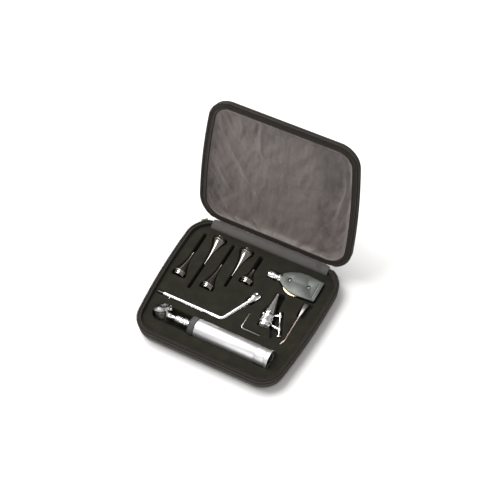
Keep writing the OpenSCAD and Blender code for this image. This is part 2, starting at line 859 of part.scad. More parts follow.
module nasal_moving_valve() {
    lever = lever_a - nasal_tilt;
    color("#cfcdca") at_nasal() {
        valve_half(1);
        for (s = [-1, 1]) difference() {
            union() {
                translate([0, nasal_pivot_s, s * 9.5]) cylinder(h = 0.9, r = 2.4, center = true);
                translate([0.2, nasal_pivot_s, s * 9.5 - 0.45]) cube([2.2, 4.5, 0.9]);
                translate([0.2, nasal_pivot_s + 3.3, s > 0 ? 7 : -9.95]) cube([2.2, 1.2, 2.95]);
            }
            translate([0, nasal_pivot_s, s * 9.5]) cylinder(h = 3, r = 1.26, center = true);
        }
        translate([0, nasal_pivot_s, 0]) rotate([0, 0, lever]) difference() {
            union() {
                translate([7.4, -1, -1]) cube([lever_len - 8.8, 2, 2]);
                translate([lever_len, 0, 0]) rotate([90, 0, 0]) cylinder(h = 3.2, r = 2.7, center = true);
            }
            translate([lever_len, 0, 0]) rotate([90, 0, 0]) cylinder(h = 9, r = 1.85, center = true);
        }
    }
}

module nasal_pivots() {
    color("#b3b1ae") at_nasal() for (s = [-1, 1]) translate([0, nasal_pivot_s, s * 9.9]) {
        cylinder(h = 2, r = 1.2, center = true);
        translate([0, 0, s * 0.7]) cylinder(h = 0.7, r = 2, center = true);
    }
}

// The screw's own frame: its line along -Y from the lever eye towards the knob.
module at_screw() {
    translate([screw_top[0], screw_top[1], nasal_z]) rotate([0, 0, lever_a]) children();
}

module along_screw(from, h, r0, r1) {
    translate([0, -from, 0]) rotate([90, 0, 0]) cylinder(h = h, r1 = r0, r2 = r1);
}

module nasal_lug() {
    nut = screw_top + nut_at * [sin(lever_a), -cos(lever_a)];
    arm_from = [nasal_x, nasal_y] + 9.4 * [cos(nasal_tilt), sin(nasal_tilt)]
        + 6.2 * [-sin(nasal_tilt), cos(nasal_tilt)];
    d = nut - arm_from;
    dist = norm(d);
    color("#d8d6d3") difference() {
        union() {
            translate([arm_from[0], arm_from[1], nasal_z]) rotate([0, 0, atan2(d[1], d[0])]) {
                bar_x(0, dist - 1, 1.5);
                translate([dist * 0.52, 0, 0]) sphere(r = 2.9, $fn = 64);
            }
            at_screw() along_screw(nut_at - 3, 6, 2.3, 2.3);
        }
        at_screw() along_screw(nut_at - 10, 20, screw_r + 0.06, screw_r + 0.06);
        at_nasal() rotate([-90, 0, 0]) translate([0, 0, -1]) cylinder(h = 9, r = 10.4);
    }
}

module nasal_screw() {
    color("#e2e0dd") at_screw() {
        along_screw(-3.2, 3.2 + knob_at, screw_r, screw_r);
        translate([0, 3.6, 0]) sphere(r = 1.9, $fn = 48);
        for (s = [nut_at - 4.1, nut_at + 3.3]) along_screw(s, 0.8, 1.8, 1.8);
    }
}

module nasal_knob() {
    color("#e2e0dd") at_screw() {
        along_screw(knob_at, 0.7, 1.6, 3.4);
        along_screw(knob_at + 0.7, 1.5, 3.7, 3.7);
        along_screw(knob_at + 2.2, 0.5, 3.7, 2.6);
    }
}

// ---------- ophthalmoscope ----------

screw_spots = [[54.5, 61.3], [84.8, 61.3]];
recess_r = 3.3;
slot = [[97.2, 73.4], [97.2, 47.6]];

module plate_plan(inset) {
    function side(v, middle) = v > middle ? 1 : -1;
    polygon([for (p = plate_pts) [p[0] - inset * side(p[0], 70), p[1] - inset * side(p[1], oph_y)]]);
}

module oph_housing() {
    color("#2b2b2a") difference() {
        translate([0, 0, housing_z]) linear_extrude(housing_h) plate_plan(1.4);
        translate([oph_x, oph_y, housing_z + 2]) cylinder(h = housing_h, r = wheel_r + 0.4);
        translate([oph_x + 14.6, oph_y, housing_z - 1]) cylinder(h = 4, r = 1.9);
    }
}

module oph_front_plate() {
    color("#5f625c") difference() {
        union() {
            translate([0, 0, plate_top - plate_t]) linear_extrude(plate_t) plate_plan(0);
            translate([0, 0, housing_z + housing_h]) linear_extrude(2.4) difference() {
                plate_plan(1.4);
                translate([oph_x, oph_y]) circle(wheel_r + 0.4);
            }
        }
        for (p = screw_spots) translate([p[0], p[1], plate_top - 2]) cylinder(h = 3, r = recess_r);
        translate([slot[1][0] - 0.9, slot[1][1], plate_top - 1.6])
            cube([1.8, slot[0][1] - slot[1][1], 3]);
        for (p = slot) translate([p[0], p[1], plate_top - 1.6]) cylinder(h = 3, r = 0.9);
        translate([oph_x, oph_y, plate_top - plate_t - 1]) cylinder(h = 2.6, r = 2.06);
        translate([0, oph_y, conn_z]) bar_x(30, 42.42, 5.42);
    }
}

module oph_lens_wheel() {
    teeth = 40;
    color("#dccba8") translate([oph_x, oph_y, wheel_z - 1.9]) difference() {
        cylinder(h = 3.4, r = wheel_r);
        for (i = [0:teeth - 1]) rotate([0, 0, i * 360 / teeth])
            translate([wheel_r + 0.25, 0, -1]) cylinder(h = 6, r = 0.8, $fn = 20);
        for (i = [0:wheel_lenses_n - 1]) rotate([0, 0, i * 360 / wheel_lenses_n])
            translate([14.6, 0, -1]) cylinder(h = 6, r = 2.1);
        translate([0, 0, -1]) cylinder(h = 6, r = 2.06);
    }
}

module oph_wheel_lenses() {
    color("#cfe0e2") translate([oph_x, oph_y, wheel_z - 1.2])
        for (i = [0:wheel_lenses_n - 1]) rotate([0, 0, i * 360 / wheel_lenses_n])
            translate([14.6, 0, 0]) cylinder(h = 1.6, r = 2.1);
}

module oph_axle() {
    color("#8a8a88") translate([oph_x, oph_y, housing_z + 2])
        cylinder(h = plate_top - plate_t + 1.4 - housing_z - 2, r = 2);
}

module oph_screws() {
    color("#9b9a96") for (p = screw_spots) translate([p[0], p[1], plate_top - 2]) difference() {
        union() {
            cylinder(h = 0.7, r = 2.3);
            translate([0, 0, 0.7]) cylinder(h = 0.7, r1 = 2.3, r2 = 1.3);
        }
        translate([-3, -0.3, 0.8]) cube([6, 0.6, 2]);
    }
}

module oph_window() {
    color("#c9c7c0") translate([slot[1][0] - 0.9, slot[1][1], plate_top - 1.6])
        cube([0.7, slot[0][1] - slot[1][1], 0.9]);
}

module oph_connector() {
    color("#e4e6e8") translate([0, oph_y, conn_z]) difference() {
        union() {
            bar_x(20, 29.5, 6.2);
            bar_x(29, 34.2, 4.7);
            cone_x(34, 36.4, 5.1, 6.8);
            bar_x(36.4, 38.2, 6.8);
            bar_x(38, 42.4, 5.4);
        }
        bar_x(19, 28, spigot_r + 0.3);
        translate([19, -1, 0]) cube([6, 2, 8]);
    }
}

// ---------- mirror and key ----------

wire_bend = 20;
wire_hook = 9;

module mirror_wire() {
    color("#d6c6ba") translate([mirror_x, mirror_bend_y, mirror_z]) {
        rotate([-90, 0, 0]) cylinder(h = blade_y0 - mirror_bend_y, r = wire_r);
        sphere(r = wire_r + 0.04, $fn = 48);
        rotate([90, 0, 0]) rotate([0, -wire_bend, 0]) cylinder(h = wire_hook, r = wire_r);
    }
}

module mirror_blade() {
    color("#7b7b77") translate([0, 0, mirror_z - 0.7]) linear_extrude(1.4)
        polygon([[mirror_x - 1.1, blade_y0], [mirror_x + 1.1, blade_y0], [mirror_x + 3.8, blade_y1],
            [mirror_x - 3.8, blade_y1]]);
}

module hex_key() {
    color("#cfcfcd") translate([key_x, key_y, key_z]) {
        translate([0, key_bend_r, 0]) rotate([-90, 0, 0])
            cylinder(h = key_short - key_bend_r, r = key_r, $fn = 6);
        bar_hex(key_bend_r, key_long);
        translate([key_bend_r, key_bend_r, 0]) rotate([0, 0, 180]) rotate_extrude(angle = 90)
            translate([key_bend_r, 0]) circle(key_r, $fn = 6);
    }
}

module bar_hex(x0, x1) {
    translate([x0, 0, 0]) rotate([0, 90, 0]) cylinder(h = x1 - x0, r = key_r, $fn = 6);
}

base_shell();
foam_tray();
base_rim_binding();
base_zip_tape();
hinge_strip_base();
zip_slider();
zip_pull_tab();
lid_shell();
lid_lining();
lid_rim_binding();
lid_zip_tape();
hinge_strip_lid();
handle_tube();
handle_neck();
contact_insulator();
contact_pin();
battery_front();
battery_rear();
battery_spring();
rheostat_collar();
tail_cap();
head_connector();
head_neck();
head_cup();
lamp_base();
lamp_bulb();
lens_arm();
lens_frame();
viewing_lens();
arm_tube();
arm_tip();
arm_collar();
arm_socket();
speculum_1();
speculum_2();
speculum_3();
speculum_4();
speculum_5();
nasal_base();
nasal_fixed_valve();
nasal_moving_valve();
nasal_pivots();
nasal_lug();
nasal_screw();
nasal_knob();
oph_housing();
oph_front_plate();
oph_lens_wheel();
oph_wheel_lenses();
oph_axle();
oph_screws();
oph_window();
oph_connector();
mirror_wire();
mirror_blade();
hex_key();
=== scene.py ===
import json
import math

import bmesh
import bpy
import numpy as np
from mathutils import Matrix, Vector, noise


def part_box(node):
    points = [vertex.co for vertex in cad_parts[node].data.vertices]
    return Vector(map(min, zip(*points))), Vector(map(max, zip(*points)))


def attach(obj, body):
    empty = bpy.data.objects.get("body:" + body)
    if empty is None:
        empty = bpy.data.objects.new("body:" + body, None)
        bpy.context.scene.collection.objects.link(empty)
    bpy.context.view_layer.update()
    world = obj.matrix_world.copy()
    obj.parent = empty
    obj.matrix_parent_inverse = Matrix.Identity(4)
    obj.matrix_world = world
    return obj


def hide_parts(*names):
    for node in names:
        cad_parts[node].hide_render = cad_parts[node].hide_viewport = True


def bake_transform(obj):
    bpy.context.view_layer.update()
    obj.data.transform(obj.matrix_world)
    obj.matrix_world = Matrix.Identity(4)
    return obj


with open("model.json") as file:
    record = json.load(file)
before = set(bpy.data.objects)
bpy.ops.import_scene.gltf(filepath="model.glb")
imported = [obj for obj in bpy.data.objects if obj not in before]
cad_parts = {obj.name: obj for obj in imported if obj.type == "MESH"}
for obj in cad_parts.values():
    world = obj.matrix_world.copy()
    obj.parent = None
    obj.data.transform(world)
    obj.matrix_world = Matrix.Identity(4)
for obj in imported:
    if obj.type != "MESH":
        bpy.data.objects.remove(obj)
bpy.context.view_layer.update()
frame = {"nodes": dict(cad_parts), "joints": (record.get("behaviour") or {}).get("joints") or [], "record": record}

NODES = frame["nodes"]
BODY_OF = {n: b for b, names in frame["record"]["behaviour"]["bodies"].items() for n in names}
SLOT_OF = {s["node"]: s["material_slot"] for s in frame["record"]["subparts"]}
MM = 0.001

# ---------- the case outline, in millimetres ----------

shell_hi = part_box("base_shell")[1] / MM
lid_joint = next(j for j in frame["joints"] if j["name"] == "lid_hinge")
HINGE_Y, HINGE_Z = lid_joint["pos_m"][1] / MM, lid_joint["pos_m"][2] / MM
OPEN = math.radians(-lid_joint["range_deg"][0])
BASE_H = shell_hi.z
BACK_R, BACK_X, BACK_Y = 37.35, 86.29, 68.78
FRONT_R, FRONT_X = 33.0, 83.5
SIDE_R = 996.75
SIDE_X = SIDE_R - shell_hi.x
SIDE_Y = BACK_Y - math.sqrt((SIDE_R - BACK_R) ** 2 - (BACK_X + SIDE_X) ** 2)
FRONT_Y = SIDE_Y - math.sqrt((SIDE_R - FRONT_R) ** 2 - (FRONT_X + SIDE_X) ** 2)
# Direction on the back corners where the zip ends
ZIP_END = 70.0
TOOTH_PITCH = 1.35
SHELL_T = 2.6
FOAM_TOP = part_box("foam_tray")[1].z / MM
TAPE_T = 0.9
TAPE_W = 7.5
BINDING_IN = 9.0
BASE_BINDING_IN = 5.6


def outline(step, closed, end=90.0):
    """Rows of (x, y, outward x, outward y, distance along) about a step apart, from the back left corner round to the
    back right one. The open one leaves out the back, and stops at a direction on the back corners."""
    a = math.degrees(math.atan2(BACK_Y - SIDE_Y, BACK_X + SIDE_X))
    b = math.degrees(math.atan2(SIDE_Y - FRONT_Y, FRONT_X + SIDE_X))
    end = 90.0 if closed else end
    runs = [(-BACK_X, BACK_Y, BACK_R, 180 - end, 180 - a), (SIDE_X, SIDE_Y, SIDE_R, 180 - a, 180 + b),
            (-FRONT_X, FRONT_Y, FRONT_R, 180 + b, 270), (-FRONT_X, FRONT_X, FRONT_Y - FRONT_R, -1),
            (FRONT_X, FRONT_Y, FRONT_R, 270, 360 - b), (-SIDE_X, SIDE_Y, SIDE_R, -b, a),
            (BACK_X, BACK_Y, BACK_R, a, end)]
    if closed:
        runs.append((BACK_X, -BACK_X, BACK_Y + BACK_R, 1))
    rows, run = [], 0.0
    for k, part in enumerate(runs):
        straight = len(part) == 4
        length = abs(part[1] - part[0]) if straight else part[2] * math.radians(part[4] - part[3])
        n = max(2, math.ceil(length / step))
        for i in range(n + 1 if k == len(runs) - 1 and not closed else n):
            u = i / n
            if straight:
                rows.append((part[0] + (part[1] - part[0]) * u, part[2], 0.0, part[3], run + length * u))
            else:
                t = math.radians(part[3] + (part[4] - part[3]) * u)
                c, q = math.cos(t), math.sin(t)
                rows.append((part[0] + part[2] * c, part[1] + part[2] * q, c, q, run + length * u))
        run += length
    return np.array(rows), run


def on_outline(rows, out, z):
    """Points at an offset out from the outline, at height z."""
    return np.stack([rows[:, 0] + out * rows[:, 2], rows[:, 1] + out * rows[:, 3], np.zeros(len(rows)) + z], axis=1)


def to_lid(points):
    """Points drawn on the base side, turned over onto the open lid."""
    p = np.array(points, float)
    y, z = p[:, 1] - HINGE_Y, HINGE_Z - p[:, 2]
    c, s = math.cos(-OPEN), math.sin(-OPEN)
    return np.stack([p[:, 0], HINGE_Y + y * c - z * s, HINGE_Z + y * s + z * c], axis=1)


# ---------- making pieces ----------

def piece(name, points, faces, material, body, sharp=40, uv=None):
    """A mesh object from points in millimetres, smooth but for edges sharper than an angle."""
    me = bpy.data.meshes.new(name)
    me.from_pydata([tuple(p) for p in np.asarray(points) * MM], [], [tuple(f) for f in faces])
    me.validate()
    bm = bmesh.new()
    bm.from_mesh(me)
    if uv is None:
        bmesh.ops.recalc_face_normals(bm, faces=bm.faces)
    bm.to_mesh(me)
    bm.free()
    if uv is not None:
        layer = me.uv_layers.new(name="Weave")
        layer.data.foreach_set("uv", np.asarray(uv, np.float32).ravel())
    return finish_piece(me, name, material, body, sharp)


def finish_piece(me, name, material, body, sharp):
    me.shade_smooth()
    me.set_sharp_from_angle(angle=math.radians(sharp))
    me.materials.clear()
    me.materials.append(material)
    ob = bpy.data.objects.new(name, me)
    bpy.context.scene.collection.objects.link(ob)
    if body:
        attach(ob, body)
    return ob


def sweep(name, profile, material, body, closed, lid=False, step=2.0, sharp=50, wobble=0.0, end=90.0):
    """A profile of (out, z) points, in order round the section, carried round the outline."""
    rows, total = outline(step, closed, end)
    n, m = len(rows), len(profile)
    pts = np.stack([on_outline(rows, o, z) for o, z in profile], axis=1)
    if wobble:
        for i in range(n):
            d = noise.noise(Vector((rows[i, 4] * 0.05, 3.7, 0))) * wobble
            pts[i, :, 2] += d
    pts = pts.reshape(-1, 3)
    along = np.append(rows[:, 4], total)
    gaps = np.hypot(*np.diff(np.array(profile + profile[:1]), axis=0).T)
    across = np.append(0, np.cumsum(gaps))
    faces, uv = [], []
    for i in range(n if closed else n - 1):
        j = (i + 1) % n
        for k in range(m):
            q = (k + 1) % m
            faces.append((i * m + k, j * m + k, j * m + q, i * m + q))
            uv += [(along[i], across[k]), (along[i + 1], across[k]), (along[i + 1], across[k + 1]),
                   (along[i], across[k + 1])]
    if not closed:
        faces += [tuple(range(m - 1, -1, -1)), tuple((n - 1) * m + k for k in range(m))]
        uv += [(0, across[k]) for k in range(m - 1, -1, -1)] + [(total, across[k]) for k in range(m)]
    if lid:
        pts = to_lid(pts)
        faces = [f[::-1] for f in faces]
        uv = [u for f, s in zip(faces, np.cumsum([0] + [len(f) for f in faces[:-1]]))
              for u in uv[s:s + len(f)][::-1]]
    ob = piece(name, pts, faces, material, body, sharp, uv)
    bm = bmesh.new()
    bm.from_mesh(ob.data)
    if bm.calc_volume(signed=True) < 0:
        bmesh.ops.reverse_faces(bm, faces=bm.faces)
        bm.to_mesh(ob.data)
        ob.data.set_sharp_from_angle(angle=math.radians(sharp))
    bm.free()
    return ob


def arc(cx, cy, r, a0, a1, n):
    """Points of an arc about a centre, angles in degrees."""
    return [(cx + r * math.cos(math.radians(a0 + (a1 - a0) * i / n)),
             cy + r * math.sin(math.radians(a0 + (a1 - a0) * i / n))) for i in range(n + 1)]


def scattered(name, shape, faces, places, material, body, sharp=60):
    """One mesh with a small shape copied to many places: (centre, 3x3 matrix)."""
    pts, all_faces = [], []
    shape = np.asarray(shape, float)
    for k, (centre, turn) in enumerate(places):
        pts.append(shape @ np.asarray(turn).T + centre)
        all_faces += [tuple(v + k * len(shape) for v in f) for f in faces]
    return piece(name, np.concatenate(pts), all_faces, material, body, sharp)


def blob(rx, ry, rz, rings=5, sides=8, power=0.75):
    """A rounded block: points and faces of a superellipsoid with its poles along X."""
    pts, faces = [(-rx, 0, 0)], []
    for i in range(1, rings):
        a = math.pi * i / rings
        x, r = -math.cos(a), math.sin(a)
        for k in range(sides):
            b = 2 * math.pi * k / sides
            y, z = math.cos(b), math.sin(b)
            pts.append((rx * math.copysign(abs(x) ** power, x),
                        ry * r ** power * math.copysign(abs(y) ** power, y),
                        rz * r ** power * math.copysign(abs(z) ** power, z)))
    pts.append((rx, 0, 0))
    for k in range(sides):
        q = (k + 1) % sides
        faces.append((0, 1 + q, 1 + k))
        for i in range(rings - 2):
            a, b = 1 + i * sides, 1 + (i + 1) * sides
            faces.append((a + k, a + q, b + q, b + k))
        a = 1 + (rings - 2) * sides
        faces.append((a + k, a + q, len(pts) - 1))
    return pts, faces


# ---------- materials ----------

class Paint:
    """A node material with a Principled shader and a few short ways to add nodes."""

    def __init__(self, name, **inputs):
        self.mat = bpy.data.materials.new(name)
        self.mat.use_nodes = True
        self.tree = self.mat.node_tree
        self.shader = self.tree.nodes["Principled BSDF"]
        for key, value in inputs.items():
            self.shader.inputs[key.replace("_", " ")].default_value = value

    def node(self, kind, links=(), **values):
        n = self.tree.nodes.new(kind)
        for key, value in values.items():
            if key.startswith("in_"):
                n.inputs[int(key[3:]) if key[3:].isdigit() else key[3:].replace("_", " ")].default_value = value
            else:
                setattr(n, key, value)
        for socket, source in dict(links).items():
            self.tree.links.new(source, n.inputs[socket])
        return n

    def here(self):
        return self.node("ShaderNodeTexCoord").outputs["Object"]

    def weave_uv(self):
        return self.node("ShaderNodeUVMap", uv_map="Weave").outputs[0]

    def stretched(self, source, scale):
        return self.node("ShaderNodeMapping", {0: source}, in_Scale=scale).outputs[0]

    def noise(self, source, scale, detail=4.0, roughness=0.55):
        n = self.node("ShaderNodeTexNoise", {"Vector": source})
        n.inputs["Scale"].default_value = scale
        n.inputs["Detail"].default_value = detail
        n.inputs["Roughness"].default_value = roughness
        return n.outputs["Fac"]

    def math(self, op, a, b=None, clamp=False):
        n = self.tree.nodes.new("ShaderNodeMath")
        n.operation = op
        n.use_clamp = clamp
        for k, v in enumerate((a, b)):
            if v is None:
                continue
            if isinstance(v, (int, float)):
                n.inputs[k].default_value = v
            else:
                self.tree.links.new(v, n.inputs[k])
        return n.outputs[0]

    def span(self, source, low, high, to_low=0.0, to_high=1.0):
        n = self.tree.nodes.new("ShaderNodeMapRange")
        self.tree.links.new(source, n.inputs[0])
        for k, v in enumerate((low, high, to_low, to_high), 1):
            n.inputs[k].default_value = v
        return n.outputs[0]

    def colours(self, factor, stops):
        n = self.tree.nodes.new("ShaderNodeValToRGB")
        self.tree.links.new(factor, n.inputs[0])
        ramp = n.color_ramp
        while len(ramp.elements) < len(stops):
            ramp.elements.new(0.5)
        for e, (at, rgb) in zip(ramp.elements, stops):
            e.position = at
            e.color = (*rgb, 1)
        self.tree.links.new(n.outputs[0], self.shader.inputs["Base Color"])
        return n.outputs[0]

    def rough(self, source):
        self.tree.links.new(source, self.shader.inputs["Roughness"])

    def bump(self, source, depth, after=None, strength=1.0):
        n = self.tree.nodes.new("ShaderNodeBump")
        n.inputs["Strength"].default_value = strength
        n.inputs["Distance"].default_value = depth
        self.tree.links.new(source, n.inputs["Height"])
        if after is not None:
            self.tree.links.new(after, n.inputs["Normal"])
        self.tree.links.new(n.outputs[0], self.shader.inputs["Normal"])
        return n.outputs[0]

    def weave(self, source, pitch):
        """A plain weave on faces square to any axis: a sum of products of sines with that thread pitch in metres."""
        split = self.node("ShaderNodeSeparateXYZ", {0: source})
        k = math.pi / pitch
        s = [self.math("SINE", self.math("MULTIPLY", split.outputs[i], k)) for i in range(3)]
        xy = self.math("MULTIPLY", s[0], s[1])
        yz = self.math("MULTIPLY", s[1], s[2])
        zx = self.math("MULTIPLY", s[2], s[0])
        return self.math("ADD", self.math("ADD", xy, yz), zx)


def dark(rgb, k):
    return tuple(c * k for c in rgb)


def cloth_paint(name, rgb, pitch, rough=0.85, sheen=0.3, fuzz=0.35, spread=0.22):
    """Woven cloth in object space."""
    p = Paint(name, Roughness=rough, Sheen_Weight=sheen, Sheen_Roughness=0.5)
    p.shader.inputs["Specular IOR Level"].default_value = 0.35
    at = p.here()
    weave = p.weave(at, pitch)
    cloud = p.noise(at, 38, 5)
    grain = p.noise(at, 2600, 2)
    mixed = p.math("ADD", p.math("MULTIPLY", cloud, 0.75), p.math("MULTIPLY", grain, 0.25))
    p.colours(mixed, [(0.3, dark(rgb, 1 - spread)), (0.5, rgb), (0.72, dark(rgb, 1 + spread))])
    first = p.bump(weave, pitch * 0.22)
    p.bump(grain, 0.0002 * fuzz, first)
    p.rough(p.span(cloud, 0.3, 0.7, rough - 0.08, rough + 0.06))
    return p.mat


def ribbed_paint(name, rgb, rib, rough=0.8, sheen=0.25):
    """Ribbon or tape whose ribs run across its length, on a swept piece."""
    p = Paint(name, Roughness=rough, Sheen_Weight=sheen)
    p.shader.inputs["Specular IOR Level"].default_value = 0.3
    uv = p.weave_uv()
    split = p.node("ShaderNodeSeparateXYZ", {0: uv})
    ribs = p.math("SINE", p.math("MULTIPLY", split.outputs[0], 2 * math.pi / rib))
    threads = p.math("SINE", p.math("MULTIPLY", split.outputs[1], 2 * math.pi / (rib * 1.3)))
    cloth = p.math("ADD", ribs, p.math("MULTIPLY", threads, 0.6))
    cloud = p.noise(uv, 0.06, 4)
    grain = p.noise(uv, 3.0, 3)
    mixed = p.math("ADD", p.math("MULTIPLY", cloud, 0.6), p.math("MULTIPLY", grain, 0.4))
    p.colours(mixed, [(0.3, dark(rgb, 0.72)), (0.5, rgb), (0.7, dark(rgb, 1.3))])
    p.bump(grain, 0.00008, p.bump(cloth, 0.00009))
    return p.mat


def metal_paint(name, rgb, rough, brush=None, spread=0.05, scratch=0.3, metallic=1.0, swing=0.2):
    """Plated or bare metal. brush is the scale of stretched noise for a directional finish."""
    p = Paint(name, Metallic=metallic, Roughness=rough)
    at = p.here()
    fine = p.noise(p.stretched(at, brush) if brush else at, 260, 5)
    smudge = p.noise(at, 55, 4)
    p.colours(p.math("ADD", p.math("MULTIPLY", smudge, 0.6), p.math("MULTIPLY", fine, 0.4)),
              [(0.3, dark(rgb, 1 - spread)), (0.55, rgb), (0.75, tuple(min(1, c * (1 + spread)) for c in rgb))])
    mixed = p.math("ADD", p.math("MULTIPLY", smudge, 0.7), p.math("MULTIPLY", fine, 0.3))
    p.rough(p.span(mixed, 0.3, 0.7, rough * (1 - swing), rough * (1 + swing)))
    p.bump(fine, 0.00001 * scratch)
    return p.mat


def plain_paint(name, rgb, rough, grain=0.3, scale=900, spread=0.12, metallic=0.0, coat=0.0):
    """Paint or moulded plastic with a fine texture."""
    p = Paint(name, Roughness=rough, Metallic=metallic, Coat_Weight=coat, Coat_Roughness=0.2)
    at = p.here()
    fine, cloud = p.noise(at, scale, 3), p.noise(at, 70, 4)
    p.colours(p.math("ADD", p.math("MULTIPLY", fine, 0.4), p.math("MULTIPLY", cloud, 0.6)),
              [(0.3, dark(rgb, 1 - spread)), (0.5, rgb), (0.7, dark(rgb, 1 + spread))])
    p.rough(p.span(cloud, 0.3, 0.7, rough - 0.06, rough + 0.08))
    p.bump(fine, 0.0001 * grain)
    return p.mat


def foam_paint():
    p = Paint("foam_flock", Roughness=0.95, Sheen_Weight=0.12, Sheen_Roughness=0.6)
    p.shader.inputs["Specular IOR Level"].default_value = 0.15
    p.shader.inputs["Sheen Tint"].default_value = (0.55, 0.5, 0.4, 1)
    at = p.here()
    fine, nap = p.noise(at, 3200, 3), p.noise(at, 60, 5)
    mixed = p.math("ADD", p.math("MULTIPLY", nap, 0.6), p.math("MULTIPLY", fine, 0.4))
    p.colours(mixed, [(0.3, (0.0075, 0.0075, 0.0048)), (0.52, (0.0125, 0.0125, 0.0083)),
                      (0.72, (0.021, 0.0205, 0.0145))])
    p.bump(fine, 0.0002, p.bump(nap, 0.0003))
    return p.mat


def satin_paint(name, rgb, rough=0.42, painted_shade_and_ripple=0.12):
    """Satin lining: a close weave with a soft, slightly directional shine. Its colour has broad patches of painted
    shade, with milder lighter patches between them, standing for the light and shade on its folds, mixed with the
    thread's own slubs.
    """
    p = Paint(name, Roughness=rough, Sheen_Weight=0.35, Sheen_Roughness=0.35, Anisotropic=0.3)
    p.shader.inputs["Specular IOR Level"].default_value = 0.42
    at = p.here()
    weave = p.weave(at, 0.0003)
    slub = p.noise(p.stretched(at, (1, 12, 12)), 90, 4)
    cloud = p.noise(p.stretched(at, (1, 0.55, 0.55)), 19, 3)
    pull = p.noise(p.stretched(at, (1.0, 0.35, 0.5)), 60, 2)
    mixed = p.math("ADD", p.math("MULTIPLY", cloud, 0.8), p.math("MULTIPLY", slub, 0.2))
    # Painted shade: broad cloud patches darken the colour by up to 2.6 times the last argument, and lighten it a
    # little between; only the slub share is the cloth's own tone.
    p.colours(mixed, [(0.34, dark(rgb, 1 - 2.6 * painted_shade_and_ripple)), (0.46, dark(rgb, 0.97)), (0.7, dark(rgb, 1 + painted_shade_and_ripple))])
    p.rough(p.span(cloud, 0.3, 0.7, rough - 0.05, rough + 0.08))
    soft = p.bump(pull, 0.02 * painted_shade_and_ripple, p.bump(cloud, 0.05 * painted_shade_and_ripple))
    p.bump(slub, 0.00006, p.bump(weave, 0.00003, soft))
    return p.mat


def glass_paint():
    p = Paint("lens_glass", Roughness=0.03, Transmission_Weight=1.0, IOR=1.5)
    at = p.here()
    p.colours(p.noise(at, 300, 2), [(0.3, (0.86, 0.93, 0.95)), (0.7, (0.95, 0.98, 1.0))])
    return p.mat


MAT = {
    "case_fabric": cloth_paint("case_cloth", (0.022, 0.018, 0.013), 0.0007, sheen=0.15),
    "case_binding": ribbed_paint("rim_ribbon", (0.020, 0.0155, 0.0105), 0.55, sheen=0.06),
    "zip_tape": ribbed_paint("zip_ribbon", (0.022, 0.017, 0.012), 0.5, sheen=0.06),
    "zip_coil": plain_paint("zip_coil", (0.030, 0.026, 0.022), 0.42, 0.2),
    "hinge_fabric": satin_paint("hinge_satin", (0.050, 0.045, 0.041), 0.5, 0.08),
    "foam": foam_paint(),
    "lining_satin": satin_paint("lining_satin", (0.142, 0.119, 0.111), 0.38, 0.17),
    "thread": plain_paint("sewing_thread", (0.07, 0.058, 0.048), 0.6, 0.5, 2500),
    # Zip slider and pull: nickel with a painted highlight. The base colour is a pale cream, brighter than nickel and
    # only partly metallic, so it shows white under any light.
    "zip_metal": metal_paint("zip_nickel_painted_highlight", (0.95, 0.90, 0.80), 0.45, scratch=1.0, metallic=0.35),
    "handle_satin_chrome": metal_paint("satin_chrome", (0.86, 0.86, 0.87), 0.42, brush=(14, 1, 1), spread=0.02,
                                       scratch=0.2, swing=0.06),
    "bright_chrome": metal_paint("bright_chrome", (0.88, 0.88, 0.88), 0.24, scratch=0.1),
    "black_nickel": metal_paint("black_nickel", (0.27, 0.25, 0.235), 0.14, spread=0.12, scratch=0.1),
    "knurled_black": metal_paint("knurl_black", (0.085, 0.088, 0.085), 0.42, spread=0.25, metallic=0.7),
    "black_paint": plain_paint("black_enamel", (0.012, 0.012, 0.012), 0.35, 0.3, coat=0.3),
    "grey_plate": plain_paint("plate_enamel", (0.085, 0.092, 0.083), 0.42, 0.35, 1400, metallic=0.35),
    "wheel_brass": metal_paint("wheel_brass", (0.78, 0.64, 0.42), 0.33, spread=0.1),
    "steel": metal_paint("plain_steel", (0.30, 0.29, 0.275), 0.3, scratch=1.0),
    "rosy_nickel": metal_paint("rosy_nickel", (0.58, 0.46, 0.40), 0.3, spread=0.08),
    "mirror_dark": metal_paint("mirror_back", (0.16, 0.16, 0.155), 0.3, scratch=0.6),
    "insulator": plain_paint("insulator", (0.72, 0.68, 0.58), 0.45),
    "contact_brass": metal_paint("contact_brass", (0.75, 0.55, 0.28), 0.3),
    "cell_can": plain_paint("cell_sleeve", (0.05, 0.08, 0.14), 0.35, coat=0.4),
    "lens_glass": glass_paint(),
    "window_reflector": plain_paint("window_reflector", (0.62, 0.60, 0.55), 0.25, coat=0.5),
}


# ---------- hardware from the CAD ----------

def refined(node, bevel=0.0, sharp=38, finish=None):
    """A copy of a CAD node with welded vertices, eased edges and smooth shading, which stands for it."""
    src = NODES[node]
    me = src.data.copy()
    me.name = node + "_finished"
    bm = bmesh.new()
    bm.from_mesh(me)
    for face in bm.faces:
        face.smooth = True
    bmesh.ops.remove_doubles(bm, verts=bm.verts, dist=2e-6)
    bmesh.ops.dissolve_degenerate(bm, edges=bm.edges, dist=1e-6)
    if bevel:
        bmesh.ops.dissolve_limit(bm, angle_limit=math.radians(0.6), verts=bm.verts, edges=bm.edges)
        edges = [e for e in bm.edges if len(e.link_faces) == 2 and e.calc_face_angle(0) > math.radians(sharp)]
        bmesh.ops.bevel(bm, geom=edges, offset=bevel * MM, segments=2, profile=0.5, affect="EDGES",
                        clamp_overlap=True)
        bmesh.ops.remove_doubles(bm, verts=bm.verts, dist=1e-6)
        bmesh.ops.triangulate(bm, faces=[f for f in bm.faces if len(f.verts) > 4])
    bm.to_mesh(me)
    bm.free()
    for name in ("custom_normal", "sharp_edge"):
        if name in me.attributes:
            me.attributes.remove(me.attributes[name])
    ob = finish_piece(me, node + "_finished", finish or MAT[SLOT_OF[node]], BODY_OF[node], sharp)
    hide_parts(node)
    return ob


